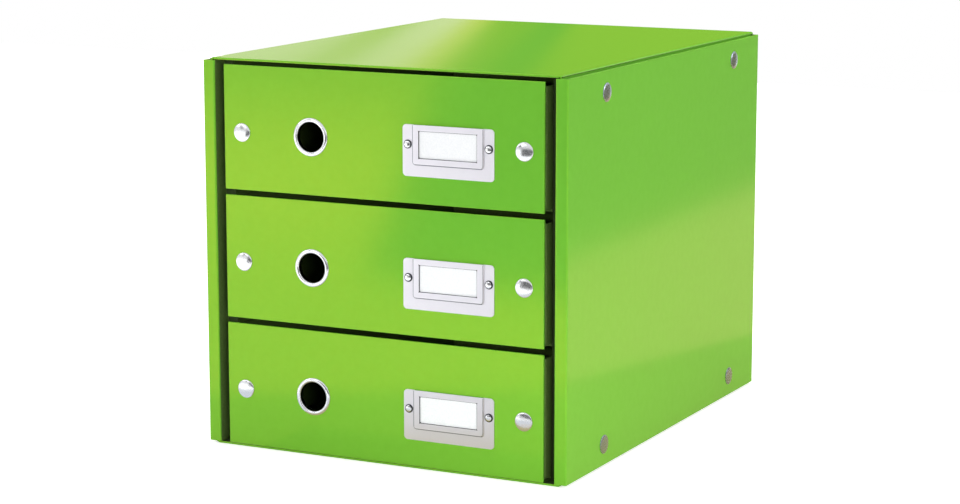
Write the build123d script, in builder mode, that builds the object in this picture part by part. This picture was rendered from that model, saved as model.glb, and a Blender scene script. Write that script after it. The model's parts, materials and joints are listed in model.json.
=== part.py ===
from build123d import *
import os

# Three-drawer document cabinet of laminated board, folded from flat blanks and held by press studs.
# Millimetres. X runs across the front, Y from the front to the back and Z up.
# The origin is at the centre of the underside.

# Boards
board = 1.7  # laminated board of the cabinet
front_board = 2.0  # laminated board of a drawer front
dark_board = 1.5  # plain dark board of the trays and liners
slip = 0.1  # between boards that slide past each other as the cabinet is put together
fold_slack = 0.3  # between the ends of the sleeves and the sheet that wraps them
crease = 1.2  # outer radius of a folded edge
edge_bevel = 0.4  # where the film is turned over the edge of a drawer front

# Drawers
drawer_names = ("lower", "middle", "upper")
front_width = 251.5
front_height = 89.1
front_gap = 4.0  # between one drawer front and the next
highest_front_gap = 2.7  # above the upper front
front_overhang = 1.0  # the front runs past the tray at each side
front_drop = 1.3  # the front hangs below the tray
rim_drop = 3.8  # the tray's rim is below the front's top edge
drawer_clearance = 1.0  # between the tray and the liner at each side
drawer_lift = 0.3  # between the tray and the liner's floor
drawer_stop_gap = 0.5  # behind a closed tray

# Tray
flap_length = 28.0
flap_trim = 6.0  # corner cut off each front flap
lip_height = 14.0
tab_width = 26.0  # tabs that lock the rolled back wall into the floor
tab_place = 70.0  # from the middle to each tab

# Cabinet
depth = 358.0
wall_cavity = 4.75  # inside a liner's hollow side wall
liner_recess = 14.0  # the liners' front edges are set back behind the drawer fronts
flange_depth = 34.0  # flanges of the wrapping sheet, tucked into the sleeves
flange_end_gap = 1.0  # between a flange and the rear wall of its sleeve
post_room = 0.5  # for the riveted ends of the posts inside a sleeve

# Press studs
stud_cap_radius = 6.7
stud_cap_height = 1.5
stud_cap_rim = 0.5
stud_cap_slope = 2.8  # width of the sloping band round a cap
stud_sides = 12  # flats round a stud
stud_barrel_radius = 3.1
stud_fit = 0.1  # round a barrel or a knob in its hole
stud_gap = 3.8  # between the two boards that a stud joins
stud_ring_radius = 5.4
stud_barrel_reach = 1.0  # how far the cap's barrel goes into the ring
stud_knob_reach = 2.2  # how far the knob goes into the ring
stud_foot_radius = 4.8
stud_foot_height = 0.45
side_stud_front = 63.0  # from the front plane to the nearer pair
side_stud_back = 55.0  # from the back to the farther pair
side_stud_edge = 17.0  # from the top or the underside
front_stud_end = 14.7  # from the end of a drawer front
fastener_height = 41.2  # studs, thumb hole and rivets above a front's lower edge

# Thumb hole
thumb_from_end = 70.75  # from the left end of the front
thumb_hole_radius = 10.5
thumb_barrel_wall = 0.8
thumb_flange_radius = 13.6
thumb_flange_height = 1.0
thumb_flange_rim = 0.4
thumb_flange_slope = 1.6
thumb_roll_radius = 12.6
thumb_roll_height = 0.6
thumb_sides = 32
washer_radius = 14.6
washer_height = 0.6

# Label holder
label_from_end = 72.25  # from the right end of the front
pocket_width = 54.8
pocket_below = 14.3  # the pocket below the line of the fasteners
plate_beside = 7.7  # the plate past each side of the pocket
plate_above = 13.7  # the plate above the line of the fasteners
plate_below = 22.2  # and below it
plate_corner = 2.8
plate_thickness = 0.6
pocket_corner = 2.5
pocket_depth = 1.0
pocket_edge_bevel = 0.35
window_beside = 5.3  # the pocket's face past each side of the window
window_height = 18.5
window_corner = 1.0
rivet_beside = 3.7  # from a side of the pocket to the nearer rivet
rivet_head_radius = 3.1
rivet_head_height = 1.1
rivet_head_rim = 0.4
rivet_head_slope = 1.4
rivet_shank_radius = 1.5
rivet_fit = 0.05
rivet_tail_radius = 2.6
rivet_tail_height = 0.5
rivet_sides = 10
card_thickness = 0.4
card_clearance = 0.3  # round the card in its pocket
card_below_rim = 0.8

# Worked out from the sizes above
tray_width = front_width - 2 * front_overhang
channel_width = tray_width + 2 * drawer_clearance
liner_wall = 2 * dark_board + wall_cavity
side_thickness = 3 * board + stud_gap + post_room
liner_width = channel_width + 2 * liner_wall
width = liner_width + 2 * (slip + side_thickness)
wrap_width = width - 2 * (board + stud_gap)

front_y = -depth / 2
back_y = depth / 2
wrap_inner_y = back_y - board
wrap_front_y = front_y + front_board + slip
sleeve_back_y = wrap_inner_y - fold_slack
liner_front_y = front_y + liner_recess
liner_back_y = wrap_inner_y - slip
tray_front_y = front_y + front_board
tray_back_y = wrap_inner_y - drawer_stop_gap
front_flap_y = tray_front_y + stud_gap
roll_y = tray_back_y - 3 * dark_board - 2 * slip

pitch = front_height + front_gap
liner_bottoms = [board + slip + level * pitch for level in range(len(drawer_names))]
tray_bottoms = [bottom + dark_board + drawer_lift for bottom in liner_bottoms]
front_bottoms = [bottom - front_drop for bottom in tray_bottoms]
height = front_bottoms[-1] + front_height + highest_front_gap + board
liner_tops = [bottom - slip for bottom in liner_bottoms[1:]] + [height - board - slip]
tray_height = front_height - front_drop - rim_drop

stud_x = front_width / 2 - front_stud_end
thumb_x = thumb_from_end - front_width / 2
label_x = front_width / 2 - label_from_end
knob_radius = stud_barrel_radius
stud_hole_radius = stud_barrel_radius + stud_fit
thumb_barrel_radius = thumb_hole_radius + thumb_barrel_wall
plate_width = pocket_width + 2 * plate_beside
window_width = pocket_width - 2 * window_beside
rivet_x = pocket_width / 2 + rivet_beside
rivet_hole_radius = rivet_shank_radius + rivet_fit


def front_plane(y):
    """Upright plane at depth y that faces the front: its X is the cabinet's X and its Y is up."""
    return Plane.XZ.offset(-y)


def add_prisms(seats, radius, sides, low, high, mode=Mode.ADD):
    """One many-sided disc or barrel at each seat, between two heights above the board."""
    with BuildSketch(*[seat.offset(low) for seat in seats]) as outline:
        RegularPolygon(radius, sides)
    extrude(outline.sketch, amount=high - low, mode=mode)


def bevel_heads(piece, seats, high, inset, drop):
    """Slope each head from its flat top down to its rim."""
    for seat in seats:
        top_face = piece.faces().sort_by_distance(seat.offset(high).origin)[0]
        chamfer(top_face.edges(), length=inset, length2=drop, reference=top_face)


def write(piece, name):
    piece.part.label = name
    export_step(piece.part, f"parts/{name}.step")


def side_seats(side):
    """Seats of the press studs on one outer face; side is -1 at the left and 1 at the right."""
    return [
        Plane(origin=(side * width / 2, y, z), x_dir=(0, 1, 0), z_dir=(side, 0, 0))
        for y in (front_y + side_stud_front, back_y - side_stud_back)
        for z in (side_stud_edge, height - side_stud_edge)
    ]


def front_seat(x, z):
    """Seat on the outer face of a drawer front."""
    return Plane(origin=(x, front_y, z), x_dir=(1, 0, 0), z_dir=(0, -1, 0))


def make_stud_caps(name, seats, grip):
    """Domed caps, each with a barrel that goes through the board and into its ring."""
    with BuildPart() as caps:
        add_prisms(seats, stud_barrel_radius, stud_sides, -grip - stud_barrel_reach, 0)
        add_prisms(seats, stud_cap_radius, stud_sides, 0, stud_cap_height)
        cap_drop = stud_cap_height - stud_cap_rim
        bevel_heads(caps, seats, stud_cap_height, stud_cap_slope, cap_drop)
    write(caps, name)


def make_stud_sockets(name, seats, grip):
    """Rings behind the board that the caps are riveted to; the knobs snap into them."""
    with BuildPart() as sockets:
        add_prisms(seats, stud_ring_radius, stud_sides, slip - grip - stud_gap, -grip)
        add_prisms(seats, stud_hole_radius, stud_sides, slip - grip - stud_gap, -grip, Mode.SUBTRACT)
    write(sockets, name)


def make_stud_posts(name, seats, grip, flap):
    """Knobs riveted through the second board, each with a foot behind it."""
    foot_top = -grip - stud_gap - flap
    with BuildPart() as posts:
        add_prisms(seats, stud_foot_radius, stud_sides, foot_top - stud_foot_height, foot_top)
        add_prisms(seats, knob_radius, stud_sides, foot_top, foot_top + flap + stud_knob_reach)
    write(posts, name)


def cut_stud_holes(seats, low, high):
    add_prisms(seats, stud_hole_radius, stud_sides, low, high, Mode.SUBTRACT)


def make_wrap_panel(stud_seats):
    """Top, back and bottom in one creased sheet, with flanges that are tucked into the sleeves."""
    with BuildPart() as wrap_panel:
        with BuildSketch(Plane.YZ.offset(-wrap_width / 2)):
            with Locations(((wrap_front_y + back_y) / 2, height / 2)):
                Rectangle(back_y - wrap_front_y, height)
            with Locations((wrap_front_y, height / 2)):
                Rectangle(
                    wrap_inner_y - wrap_front_y,
                    height - 2 * board,
                    align=(Align.MIN, Align.CENTER),
                    mode=Mode.SUBTRACT,
                )
        extrude(amount=wrap_width)
        with BuildSketch(front_plane(wrap_front_y)):
            with Locations((0, height / 2)):
                with GridLocations(wrap_width - board, height - flange_depth, 2, 2):
                    Rectangle(board, flange_depth)
        extrude(amount=wrap_front_y - sleeve_back_y + board + flange_end_gap)
        level_edges = wrap_panel.edges().filter_by(
            lambda edge: abs(edge.center().Z - height / 2) > (height - board) / 2
        )
        side_creases = level_edges.filter_by(Axis.Y).filter_by(
            lambda edge: abs(edge.center().X) > wrap_width / 2 - slip
        )
        back_creases = level_edges.filter_by(Axis.X).filter_by(
            lambda edge: edge.center().Y > back_y - slip
        )
        fillet(side_creases + back_creases, radius=crease)
        cut_stud_holes(stud_seats, -2 * board - stud_gap, -board - stud_gap)
    write(wrap_panel, "wrap_panel")


def make_side(name, side):
    """Flat hollow sleeve, open at the top and bottom ends."""
    with BuildPart() as sleeve:
        with BuildSketch(Plane.XY.offset(board + fold_slack)):
            with Locations((side * (width - side_thickness) / 2, (front_y + sleeve_back_y) / 2)):
                RectangleRounded(side_thickness, sleeve_back_y - front_y, crease)
                Rectangle(
                    side_thickness - 2 * board,
                    sleeve_back_y - front_y - 2 * board,
                    mode=Mode.SUBTRACT,
                )
        extrude(amount=height - 2 * (board + fold_slack))
        cut_stud_holes(side_seats(side), -board, 0)
    write(sleeve, name)


def make_liner(name, bottom, top):
    """Channel of dark board: a floor between two hollow side walls that are closed at the front."""
    with BuildPart() as liner:
        with BuildSketch(front_plane(liner_front_y)):
            with Locations((0, bottom)):
                Rectangle(liner_width, top - bottom, align=(Align.CENTER, Align.MIN))
            with Locations((0, bottom + dark_board)):
                Rectangle(
                    channel_width,
                    top - bottom,
                    align=(Align.CENTER, Align.MIN),
                    mode=Mode.SUBTRACT,
                )
        extrude(amount=liner_front_y - liner_back_y)
        with BuildSketch(front_plane(liner_front_y + dark_board)):
            with Locations((0, (bottom + top) / 2)):
                with GridLocations(liner_width - liner_wall, 1, 2, 1):
                    Rectangle(wall_cavity, top - bottom - 2 * dark_board)
        extrude(amount=liner_front_y - liner_back_y, mode=Mode.SUBTRACT)
    write(liner, name)


def make_tray(name, bottom, stud_seats):
    """Folded open box: floor, sides, corner flaps, front lip and a back rolled over its flaps."""
    rim = bottom + tray_height
    wall_x = (tray_width - dark_board) / 2
    flap_end_x = tray_width / 2 - flap_length
    rear_flap_y = tray_back_y - 1.5 * dark_board - slip
    roll_width = tray_width - 2 * (dark_board + slip)
    with BuildPart() as tray:
        with BuildSketch(Plane.XY.offset(bottom)):
            with Locations((0, tray_front_y)):
                Rectangle(tray_width, tray_back_y - tray_front_y, align=(Align.CENTER, Align.MIN))
        extrude(amount=dark_board)
        for side in (-1, 1):
            with BuildSketch(Plane.XY.offset(bottom)):
                with BuildLine():
                    Polyline(
                        (side * flap_end_x, front_flap_y + dark_board / 2),
                        (side * wall_x, front_flap_y + dark_board / 2),
                        (side * wall_x, rear_flap_y),
                        (side * flap_end_x, rear_flap_y),
                    )
                trace(line_width=dark_board)
            extrude(amount=tray_height)
        upright_edges = tray.edges().filter_by(Axis.Z)
        flap_creases = upright_edges.filter_by(
            lambda edge: abs(edge.center().X) > tray_width / 2 - slip
            and edge.length > tray_height / 2
        )
        fillet(flap_creases, radius=crease)
        flap_corners = tray.edges().filter_by(Axis.Y).filter_by(
            lambda edge: edge.center().Z > rim - slip
            and edge.center().Y < 0
            and abs(edge.center().X) < flap_end_x + slip
        )
        chamfer(flap_corners, length=flap_trim)
        with BuildSketch(Plane.XY.offset(rim)):
            with Locations((0, tray_back_y)):
                Rectangle(roll_width, tray_back_y - roll_y, align=(Align.CENTER, Align.MAX))
        extrude(amount=-dark_board - slip, mode=Mode.SUBTRACT)
        with BuildSketch(Plane.YZ.offset(-roll_width / 2)) as roll_profile:
            with Locations((tray_back_y, rim)):
                Rectangle(
                    tray_back_y - roll_y,
                    tray_height - dark_board - fold_slack,
                    align=(Align.MAX, Align.MAX),
                )
            with Locations((tray_back_y - dark_board, rim - dark_board)):
                Rectangle(
                    dark_board + 2 * slip,
                    tray_height,
                    align=(Align.MAX, Align.MAX),
                    mode=Mode.SUBTRACT,
                )
            fillet(roll_profile.vertices().group_by(Axis.Y)[-1], radius=crease)
        extrude(amount=roll_width)
        with BuildSketch(Plane.XY.offset(bottom)):
            with Locations((0, tray_back_y)):
                Rectangle(tray_width, dark_board, align=(Align.CENTER, Align.MAX))
        extrude(amount=tray_height - crease)
        with BuildSketch(Plane.XY.offset(bottom)):
            with Locations((-tab_place, roll_y), (tab_place, roll_y)):
                Rectangle(tab_width, dark_board, align=(Align.CENTER, Align.MIN))
        extrude(amount=tray_height / 2)
        with BuildSketch(Plane.XY.offset(bottom)):
            with Locations((0, tray_front_y)):
                Rectangle(roll_width, dark_board, align=(Align.CENTER, Align.MIN))
        extrude(amount=lip_height)
        flap_top = -front_board - stud_gap
        cut_stud_holes(stud_seats, flap_top - dark_board, flap_top)
    write(tray, name)


def make_front_panel(name, bottom, stud_seats, thumb_seat, rivet_seats):
    """Drawer front, with its holes for the studs, the thumb ring and the label holder's rivets."""
    with BuildPart() as front_panel:
        with BuildSketch(front_plane(front_y)):
            with Locations((0, bottom)):
                Rectangle(front_width, front_height, align=(Align.CENTER, Align.MIN))
        extrude(amount=-front_board)
        chamfer(front_panel.faces().sort_by(Axis.Y)[0].edges(), length=edge_bevel)
        cut_stud_holes(stud_seats, -front_board, 0)
        add_prisms([thumb_seat], thumb_barrel_radius, thumb_sides, -front_board, 0, Mode.SUBTRACT)
        add_prisms(rivet_seats, rivet_hole_radius, rivet_sides, -front_board, 0, Mode.SUBTRACT)
    write(front_panel, name)


def make_thumb_ring(name, seat):
    """Flanged eyelet, rolled outwards over its washer behind the front."""
    roll_top = -front_board - washer_height
    roll_bottom = roll_top - thumb_roll_height
    with BuildPart() as thumb_ring:
        add_prisms([seat], thumb_roll_radius, thumb_sides, roll_bottom, roll_top)
        add_prisms([seat], thumb_barrel_radius, thumb_sides, roll_top, 0)
        add_prisms([seat], thumb_flange_radius, thumb_sides, 0, thumb_flange_height)
        flange_drop = thumb_flange_height - thumb_flange_rim
        bevel_heads(thumb_ring, [seat], thumb_flange_height, thumb_flange_slope, flange_drop)
        add_prisms(
            [seat], thumb_hole_radius, thumb_sides, roll_bottom, thumb_flange_height, Mode.SUBTRACT
        )
    write(thumb_ring, name)


def make_thumb_ring_washer(name, seat):
    """Flat ring behind the front, held by the rolled end of the eyelet."""
    low = -front_board - washer_height
    with BuildPart() as washer:
        add_prisms([seat], washer_radius, thumb_sides, low, -front_board)
        add_prisms([seat], thumb_barrel_radius, thumb_sides, low, -front_board, Mode.SUBTRACT)
    write(washer, name)


def make_label_holder(name, seat, rivet_seats):
    """Stamped plate with a raised pocket, open at the top, and a window in the pocket."""
    pocket_front = pocket_depth + plate_thickness
    with BuildPart() as holder:
        with BuildSketch(seat):
            with Locations((0, -plate_below)):
                RectangleRounded(
                    plate_width,
                    plate_above + plate_below,
                    plate_corner,
                    align=(Align.CENTER, Align.MIN),
                )
        extrude(amount=plate_thickness)
        with BuildSketch(seat) as pocket:
            with Locations((0, -pocket_below)):
                Rectangle(pocket_width, plate_above + pocket_below, align=(Align.CENTER, Align.MIN))
            fillet(pocket.vertices().group_by(Axis.Y)[0], radius=pocket_corner)
        extrude(amount=pocket_front)
        chamfer(holder.faces().sort_by(Axis.Y)[0].edges(), length=pocket_edge_bevel)
        with BuildSketch(seat):
            with Locations((0, plate_thickness - pocket_below)):
                Rectangle(
                    pocket_width - 2 * plate_thickness,
                    plate_above + pocket_below,
                    align=(Align.CENTER, Align.MIN),
                )
        extrude(amount=pocket_depth, mode=Mode.SUBTRACT)
        with BuildSketch(seat):
            RectangleRounded(window_width, window_height, window_corner)
        extrude(amount=pocket_front, mode=Mode.SUBTRACT)
        add_prisms(rivet_seats, rivet_hole_radius, rivet_sides, 0, plate_thickness, Mode.SUBTRACT)
    write(holder, name)


def make_label_rivets(name, seats):
    """Domed rivets through the plate and the front, spread behind it."""
    head_top = plate_thickness + rivet_head_height
    tail_bottom = -front_board - rivet_tail_height
    with BuildPart() as rivets:
        add_prisms(seats, rivet_tail_radius, rivet_sides, tail_bottom, -front_board)
        add_prisms(seats, rivet_shank_radius, rivet_sides, -front_board, plate_thickness)
        add_prisms(seats, rivet_head_radius, rivet_sides, plate_thickness, head_top)
        head_drop = rivet_head_height - rivet_head_rim
        bevel_heads(rivets, seats, head_top, rivet_head_slope, head_drop)
    write(rivets, name)


def make_label_card(name, seat):
    """Card that drops into the pocket from above."""
    card_width = pocket_width - 2 * (plate_thickness + card_clearance)
    card_bottom = plate_thickness + card_clearance - pocket_below
    card_height = plate_above - card_below_rim - card_bottom
    with BuildPart() as card:
        with BuildSketch(seat.offset((pocket_depth - card_thickness) / 2)):
            with Locations((0, card_bottom)):
                Rectangle(card_width, card_height, align=(Align.CENTER, Align.MIN))
        extrude(amount=card_thickness)
    write(card, name)


def make_drawer(name, tray_bottom, front_bottom):
    """All the pieces of one drawer, with its fasteners on one level line."""
    line = front_bottom + fastener_height
    stud_seats = [front_seat(-stud_x, line), front_seat(stud_x, line)]
    thumb_seat = front_seat(thumb_x, line)
    label_seat = front_seat(label_x, line)
    rivet_seats = [front_seat(label_x + side * rivet_x, line) for side in (-1, 1)]
    make_tray(f"{name}_tray", tray_bottom, stud_seats)
    make_front_panel(f"{name}_front_panel", front_bottom, stud_seats, thumb_seat, rivet_seats)
    make_thumb_ring(f"{name}_thumb_ring", thumb_seat)
    make_thumb_ring_washer(f"{name}_thumb_ring_washer", thumb_seat)
    make_label_holder(f"{name}_label_holder", label_seat, rivet_seats)
    make_label_rivets(f"{name}_label_rivets", rivet_seats)
    make_label_card(f"{name}_label_card", label_seat)
    make_stud_caps(f"{name}_stud_caps", stud_seats, front_board)
    make_stud_sockets(f"{name}_stud_sockets", stud_seats, front_board)
    make_stud_posts(f"{name}_stud_posts", stud_seats, front_board, dark_board)


os.makedirs("parts", exist_ok=True)

all_side_seats = side_seats(-1) + side_seats(1)
make_wrap_panel(all_side_seats)
make_side("left_side", -1)
make_side("right_side", 1)
make_stud_caps("side_stud_caps", all_side_seats, board)
make_stud_sockets("side_stud_sockets", all_side_seats, board)
make_stud_posts("side_stud_posts", all_side_seats, board, board)

for level, drawer_name in enumerate(drawer_names):
    make_liner(f"{drawer_name}_liner", liner_bottoms[level], liner_tops[level])
    make_drawer(drawer_name, tray_bottoms[level], front_bottoms[level])

print("outside sizes:", round(width, 2), depth, round(height, 2))
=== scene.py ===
# %% [markdown]
# # A board cabinet with three drawers
# The real cabinet comes as flat blanks of laminated board that are folded up and snapped together
# with press studs. The solids hold every size and place. This script gives them their looks: it
# remodels what the eye rests on, board by board and stud by stud, and gives each material its
# own grain and gloss.

import json
from math import cos, pi, radians, sin

import bmesh
import bpy
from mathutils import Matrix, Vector


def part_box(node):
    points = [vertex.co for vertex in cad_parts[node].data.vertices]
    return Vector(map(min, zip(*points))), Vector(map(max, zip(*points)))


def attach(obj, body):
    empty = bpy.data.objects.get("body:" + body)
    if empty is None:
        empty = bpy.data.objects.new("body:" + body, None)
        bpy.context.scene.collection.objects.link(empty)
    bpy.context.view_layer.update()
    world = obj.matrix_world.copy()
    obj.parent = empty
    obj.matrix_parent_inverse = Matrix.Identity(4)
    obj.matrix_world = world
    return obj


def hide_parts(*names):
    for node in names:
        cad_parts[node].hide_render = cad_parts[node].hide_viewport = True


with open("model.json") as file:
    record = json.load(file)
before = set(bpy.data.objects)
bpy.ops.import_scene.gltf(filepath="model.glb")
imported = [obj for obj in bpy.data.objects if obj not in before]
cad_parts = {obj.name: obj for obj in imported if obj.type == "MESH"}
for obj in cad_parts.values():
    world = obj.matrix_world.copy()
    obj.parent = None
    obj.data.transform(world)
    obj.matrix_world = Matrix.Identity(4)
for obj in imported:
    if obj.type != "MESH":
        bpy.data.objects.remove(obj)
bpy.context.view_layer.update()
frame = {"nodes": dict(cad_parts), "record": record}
mm = 0.001
drawers = ("lower", "middle", "upper")
front_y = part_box("lower_front_panel")[0].y
level_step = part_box("middle_front_panel")[0].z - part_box("lower_front_panel")[0].z
fastener_line = (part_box("lower_stud_caps")[0].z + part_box("lower_stud_caps")[1].z) / 2
print("drawers are", round(level_step / mm, 1), "mm apart")
print("the lower drawer's studs are", round(fastener_line / mm, 1), "mm above the floor")

# %% [markdown]
# ## Helpers for modelling
# Blender's operators work on whatever is selected, and the solids come in selected. So every
# step starts with one helper that selects a single piece, and two more that pick faces or edges
# of that piece by where they lie, as a modeller picks them with the mouse.

# %% Selecting and shaping
def only(*chosen):
    bpy.ops.object.select_all(action="DESELECT")
    for piece in chosen:
        piece.select_set(True)
    bpy.context.view_layer.objects.active = chosen[0]
    return chosen[0]


def edit(piece):
    only(piece)
    bpy.ops.object.mode_set(mode="EDIT")
    bpy.ops.mesh.select_mode(type="VERT")
    bpy.ops.mesh.select_all(action="SELECT")


def done():
    bpy.ops.object.mode_set(mode="OBJECT")


def pick_faces(piece, wanted):
    """Selects the faces whose middle and normal pass the test."""
    bpy.ops.mesh.select_mode(type="FACE")
    bpy.ops.mesh.select_all(action="DESELECT")
    mesh = bmesh.from_edit_mesh(piece.data)
    for face in mesh.faces:
        face.select_set(wanted(face.calc_center_median(), face.normal))
    bmesh.update_edit_mesh(piece.data)


def pick_edges(piece, wanted):
    """Selects the edges whose middle and direction pass the test."""
    bpy.ops.mesh.select_mode(type="EDGE")
    bpy.ops.mesh.select_all(action="DESELECT")
    mesh = bmesh.from_edit_mesh(piece.data)
    for edge in mesh.edges:
        first, last = (corner.co for corner in edge.verts)
        edge.select_set(wanted((first + last) / 2, (last - first).normalized()))
    bmesh.update_edit_mesh(piece.data)


def add_modifier(piece, kind, **settings):
    """Adds a modifier with its settings and applies it."""
    only(piece)
    modifier = piece.modifiers.new(kind.lower(), kind)
    for name, value in settings.items():
        setattr(modifier, name, value)
    bpy.ops.object.modifier_apply(modifier=modifier.name)


def finish(piece, name, body, slot, *nodes):
    """Names a piece, smooths it with its flat faces kept flat, and lets it stand for its solids."""
    piece.name = name
    piece.data.name = name
    only(piece)
    bpy.ops.object.shade_smooth_by_angle(angle=radians(32))
    add_modifier(piece, "WEIGHTED_NORMAL", keep_sharp=True)
    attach(piece, body)
    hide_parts(*nodes)
    print(name, len(piece.data.polygons), "faces")


# %% [markdown]
# ## Helpers for materials
# Colours are written as they look on a screen, in hex, and Blender mixes light in linear
# numbers, so one function converts them. Another adds a node with its settings and its links in
# a single call, which keeps each material short enough to read.

# %% Colours and nodes
def colour(hex_code):
    channels = [int(hex_code[i : i + 2], 16) / 255 for i in (1, 3, 5)]
    linear = [c / 12.92 if c <= 0.04045 else ((c + 0.055) / 1.055) ** 2.4 for c in channels]
    return (*linear, 1.0)


def add(tree, kind, settings=None, links=None, **attributes):
    """Adds a node. settings fill its sockets, links join them, attributes choose its options."""
    node = tree.nodes.new(kind)
    for name, value in attributes.items():
        setattr(node, name, value)
    for socket, value in (settings or {}).items():
        node.inputs[socket].default_value = value
    for socket, source in (links or {}).items():
        tree.links.new(source, node.inputs[socket])
    return node


def new_material(name, **shader_values):
    """A material with its shader set, and the object's own coordinates to build on."""
    material = bpy.data.materials.new(name)
    material.use_nodes = True
    tree = material.node_tree
    shader = tree.nodes["Principled BSDF"]
    for socket, value in shader_values.items():
        shader.inputs[socket.replace("_", " ")].default_value = value
    place = add(tree, "ShaderNodeTexCoord").outputs["Object"]
    return material, tree, shader, place


def per_metre(feature_mm):
    """The noise scale that makes a feature this large."""
    return 1 / (feature_mm * mm)


# %% [markdown]
# ## Laminated board
# The green face is paper printed all over, glued to grey board and covered with a pearly film.
# The ink is a clear green that varies a trace over a few millimetres. The yellow could be mixed
# into it, but it comes from the pearl in the film, which mirrors the room in its own tint. So the
# board turns yellow-green wherever it mirrors something bright, and white only at a glancing
# angle. Two bumps of very different size break the mirror a little: the fine orange peel of the
# glue and the slow waviness of the board.

# %% Pearly film on printed paper
film, tree, shader, place = new_material("pearly_film_on_green_board", Roughness=0.13, IOR=1.5)
shader.inputs["Specular IOR Level"].default_value = 1.0
shader.inputs["Specular Tint"].default_value = colour("#FFD820")
ink_patches = add(
    tree, "ShaderNodeTexNoise", {"Scale": per_metre(6), "Detail": 3}, {"Vector": place}
)
ink = add(tree, "ShaderNodeValToRGB", links={"Fac": ink_patches.outputs["Fac"]})
ink.color_ramp.elements[0].position, ink.color_ramp.elements[0].color = 0.35, colour("#6BBB39")
ink.color_ramp.elements[1].position, ink.color_ramp.elements[1].color = 0.65, colour("#6DBD3B")
tree.links.new(ink.outputs["Color"], shader.inputs["Base Color"])
glue_peel = add(
    tree, "ShaderNodeTexNoise", {"Scale": per_metre(0.9), "Detail": 2}, {"Vector": place}
)
peel_bump = add(
    tree,
    "ShaderNodeBump",
    {"Strength": 0.02, "Distance": 0.02 * mm},
    {"Height": glue_peel.outputs["Fac"]},
)
board_waves = add(
    tree, "ShaderNodeTexNoise", {"Scale": per_metre(60), "Detail": 1}, {"Vector": place}
)
wave_bump = add(
    tree,
    "ShaderNodeBump",
    {"Strength": 0.14, "Distance": 0.3 * mm},
    {"Height": board_waves.outputs["Fac"], "Normal": peel_bump.outputs["Normal"]},
)
tree.links.new(wave_bump.outputs["Normal"], shader.inputs["Normal"])
print(film.name, len(tree.nodes), "nodes")

# %% [markdown]
# ## Dyed board
# The trays, the liners and the inner faces of the green boards are unprinted board in a dark
# olive dye, which is why the gaps in the photograph are a dark green and not black. The board is
# matte and fibrous: short pale fibres lie in it at random, and its surface is slightly felted.
# The real fibres are about 0.1 mm wide. They are drawn 0.5 mm wide and 1.6 mm long, as a noise
# that is squeezed in one direction, so that they show at all.

# %% Olive dyed board
dyed_board, tree, shader, place = new_material("olive_dyed_board", Roughness=0.82)
fibre_grain = add(tree, "ShaderNodeMapping", {"Scale": (1, 3, 1)}, {"Vector": place})
fibres = add(
    tree,
    "ShaderNodeTexNoise",
    {"Scale": per_metre(1.6), "Detail": 6, "Roughness": 0.75},
    {"Vector": fibre_grain.outputs["Vector"]},
)
shade = add(tree, "ShaderNodeValToRGB", links={"Fac": fibres.outputs["Fac"]})
shade.color_ramp.elements[0].position, shade.color_ramp.elements[0].color = 0.4, colour("#54702F")
shade.color_ramp.elements[1].position, shade.color_ramp.elements[1].color = 0.75, colour("#6E8848")
felt_bump = add(
    tree,
    "ShaderNodeBump",
    {"Strength": 0.35, "Distance": 0.06 * mm},
    {"Height": fibres.outputs["Fac"]},
)
tree.links.new(felt_bump.outputs["Normal"], shader.inputs["Normal"])
print(dyed_board.name, len(tree.nodes), "nodes")

# %% [markdown]
# The liners' front edges, just behind the gaps beside the drawers, are cut through. Their
# colour is painted shade: a darker olive stands in for the deep shade that falls there. A second
# board piece could be modelled for them, but a cut edge is still the same board. So the one
# material compares each point's place with the liners' walls: beside the trays, inside the
# liners' width, and no deeper than a fifth of a millimetre behind the liners' front.

# %% Painted shade on the cut edges
tray_clearance, liner_clearance, cut_depth = 0.5 * mm, 0.05 * mm, 0.2 * mm
tray_side, liner_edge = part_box("lower_tray")[0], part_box("lower_liner")[0]
position = add(tree, "ShaderNodeSeparateXYZ", links={"Vector": place}).outputs
sideways = add(tree, "ShaderNodeMath", links={0: position["X"]}, operation="ABSOLUTE").outputs[0]
limits = (
    (sideways, "GREATER_THAN", -tray_side.x + tray_clearance),
    (sideways, "LESS_THAN", -liner_edge.x + liner_clearance),
    (position["Y"], "LESS_THAN", liner_edge.y + cut_depth),
)
beside_tray, in_liner, in_front = (
    add(tree, "ShaderNodeMath", {1: limit}, {0: distance}, operation=test).outputs[0]
    for distance, test, limit in limits
)
in_wall = add(tree, "ShaderNodeMath", links={0: beside_tray, 1: in_liner}, operation="MULTIPLY")
painted_shade_on_cut_edge = add(
    tree, "ShaderNodeMath", links={0: in_wall.outputs[0], 1: in_front}, operation="MULTIPLY"
).outputs[0]
# The darker olive is painted shade on the liners' cut edges.
board_with_painted_shade = add(
    tree,
    "ShaderNodeMix",
    {7: colour("#35451F")},
    {0: painted_shade_on_cut_edge, 6: shade.outputs["Color"]},
    data_type="RGBA",
)
tree.links.new(board_with_painted_shade.outputs[2], shader.inputs["Base Color"])
print("cut edges reach from", round(-tray_side.x / mm, 1), "to", round(-liner_edge.x / mm, 1), "mm")

# %% [markdown]
# ## Nickel plate
# Studs, rings, rivets and label holders are pressed from thin steel and nickel plated in a
# tumbling barrel. The plating is bright but not a mirror: barrel plating leaves a satin haze
# that varies over a millimetre or two. A single roughness would look like plastic foil, so the
# roughness follows a noise.

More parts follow.
